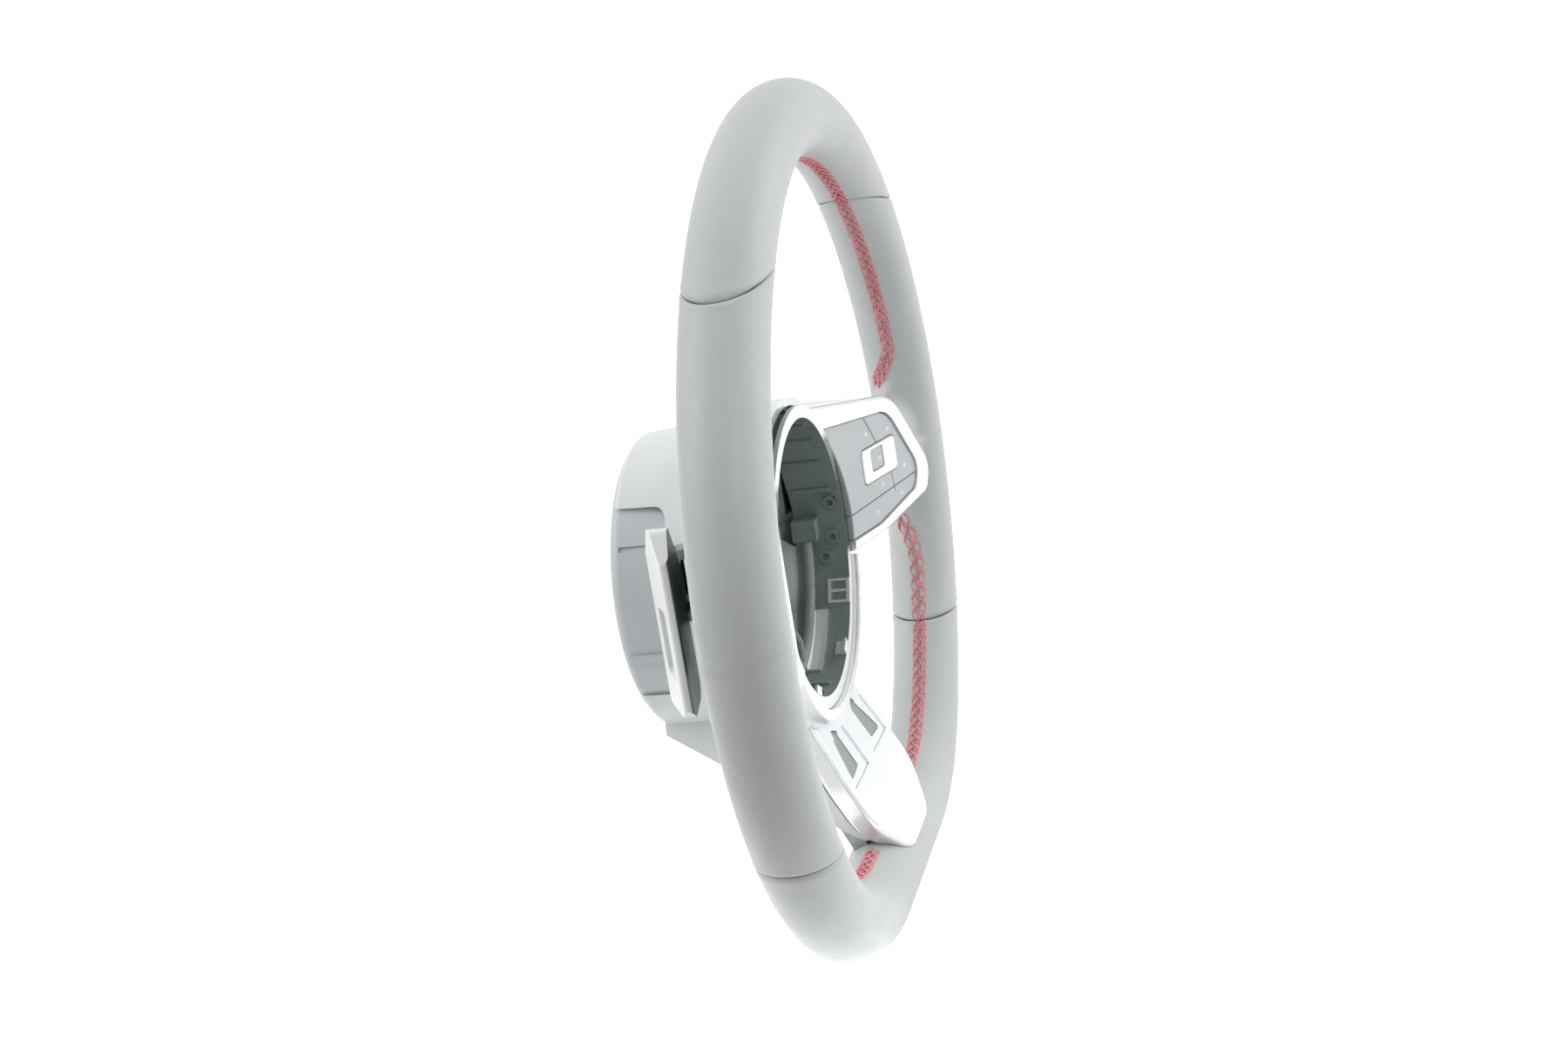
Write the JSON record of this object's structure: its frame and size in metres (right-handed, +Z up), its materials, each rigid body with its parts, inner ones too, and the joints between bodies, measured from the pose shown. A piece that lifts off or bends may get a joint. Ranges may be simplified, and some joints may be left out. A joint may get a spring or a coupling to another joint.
{
  "type": "car steering wheel",
  "caption": "Flat-bottomed leather-wrapped car steering wheel with switch pods, lower spoke trim, gear paddles and an open airbag bay.",
  "frame": {"origin": "middle of the column bore in the steel bush, on the steering axis", "axes": "+X to the driver's right, +Y along the steering axis away from the driver, +Z up"},
  "size_m": [0.3684, 0.1047, 0.3504],
  "materials": {
    "leather": "smooth grained leather, grey",
    "foam": "moulded foam",
    "thread": "red sewing thread",
    "casting": "die cast light alloy",
    "steel": "zinc plated steel",
    "insert_plastic": "light moulded plastic",
    "cover_plastic": "fine grained plastic",
    "collar_plastic": "mid grey moulded plastic",
    "liner_plastic": "dark moulded plastic",
    "loom_sleeve": "taped loom",
    "bright_trim": "satin bright trim",
    "clip_metal": "bright spring steel",
    "key_plastic": "soft touch keys",
    "key_chrome": "bright frame",
    "rubber": "silicone mat",
    "board": "circuit board",
    "paddle_plastic": "moulded paddle"
  },
  "bodies": {
    "wheel": {"leather_top": "leather", "leather_bottom": "leather", "right_leather": "leather", "left_leather": "leather", "rim_foam": "foam", "stitching": "thread", "armature": "casting", "column_bush": "steel", "horn_posts": "insert_plastic", "airbag_wire": "steel", "rear_cover": "cover_plastic", "column_collar": "collar_plastic", "cover_screws": "steel", "bay_liner": "liner_plastic", "loom": "loom_sleeve", "loom_plugs": "liner_plastic", "spoke_trim": "bright_trim", "spoke_inserts": "collar_plastic", "right_window_clip": "clip_metal", "right_hook_clip": "clip_metal", "right_guide_strap": "clip_metal", "right_pod_trim": "bright_trim", "right_pod_tray": "liner_plastic", "right_key_frame": "key_chrome", "right_dome_mat": "rubber", "right_switch_board": "board", "right_pod_screws": "steel", "right_paddle_bracket": "liner_plastic", "right_paddle_pin": "steel", "right_paddle_switch": "liner_plastic", "left_window_clip": "clip_metal", "left_hook_clip": "clip_metal", "left_guide_strap": "clip_metal", "left_pod_trim": "bright_trim", "left_pod_tray": "liner_plastic", "left_key_frame": "key_chrome", "left_dome_mat": "rubber", "left_switch_board": "board", "left_pod_screws": "steel", "left_paddle_bracket": "liner_plastic", "left_paddle_pin": "steel", "left_paddle_switch": "liner_plastic"},
    "right_paddle": {"right_paddle": "paddle_plastic"},
    "right_inner_key": {"right_inner_rocker": "key_plastic"},
    "right_outer_key": {"right_outer_rocker": "key_plastic"},
    "right_lower_key": {"right_lower_rocker": "key_plastic"},
    "right_ok_key": {"right_ok_button": "key_plastic"},
    "left_paddle": {"left_paddle": "paddle_plastic"},
    "left_inner_key": {"left_inner_rocker": "key_plastic"},
    "left_outer_key": {"left_outer_rocker": "key_plastic"},
    "left_lower_key": {"left_lower_rocker": "key_plastic"},
    "left_ok_key": {"left_ok_button": "key_plastic"}
  },
  "joints": [
    {"name": "right_paddle_pull", "type": "hinge", "parent": "wheel", "child": "right_paddle", "pos_m": [0.073, -0.008, 0], "axis": [0, 0, -1], "range_deg": [0, 5], "stiffness_Nm_per_rad": 2},
    {"name": "right_inner_rock", "type": "hinge", "parent": "wheel", "child": "right_inner_key", "pos_m": [0.07491, -0.04391, 0.004], "axis": [0.963, -0.2696, 0], "range_deg": [-1.8, 1.8], "stiffness_Nm_per_rad": 0.6},
    {"name": "right_outer_rock", "type": "hinge", "parent": "wheel", "child": "right_outer_key", "pos_m": [0.1221, -0.05712, 0.004], "axis": [0.963, -0.2696, 0], "range_deg": [-1.8, 1.8], "stiffness_Nm_per_rad": 0.6},
    {"name": "right_lower_rock", "type": "hinge", "parent": "wheel", "child": "right_lower_key", "pos_m": [0.09657, -0.04997, -0.01975], "axis": [0, 0, 1], "range_deg": [-1.2, 1.2], "stiffness_Nm_per_rad": 0.6},
    {"name": "right_ok_press", "type": "slide", "parent": "wheel", "child": "right_ok_key", "axis": [0.2696, 0.963, 0], "range_m": [0, 0.001], "stiffness_N_per_m": 800},
    {"name": "left_paddle_pull", "type": "hinge", "parent": "wheel", "child": "left_paddle", "pos_m": [-0.073, -0.008, 0], "axis": [0, 0, 1], "range_deg": [0, 5], "stiffness_Nm_per_rad": 2},
    {"name": "left_inner_rock", "type": "hinge", "parent": "wheel", "child": "left_inner_key", "pos_m": [-0.07491, -0.04391, 0.004], "axis": [-0.963, -0.2696, 0], "range_deg": [-1.8, 1.8], "stiffness_Nm_per_rad": 0.6},
    {"name": "left_outer_rock", "type": "hinge", "parent": "wheel", "child": "left_outer_key", "pos_m": [-0.1221, -0.05712, 0.004], "axis": [-0.963, -0.2696, 0], "range_deg": [-1.8, 1.8], "stiffness_Nm_per_rad": 0.6},
    {"name": "left_lower_rock", "type": "hinge", "parent": "wheel", "child": "left_lower_key", "pos_m": [-0.09657, -0.04997, -0.01975], "axis": [0, 0, 1], "range_deg": [-1.2, 1.2], "stiffness_Nm_per_rad": 0.6},
    {"name": "left_ok_press", "type": "slide", "parent": "wheel", "child": "left_ok_key", "axis": [-0.2696, 0.963, 0], "range_m": [0, 0.001], "stiffness_N_per_m": 800}
  ]
}
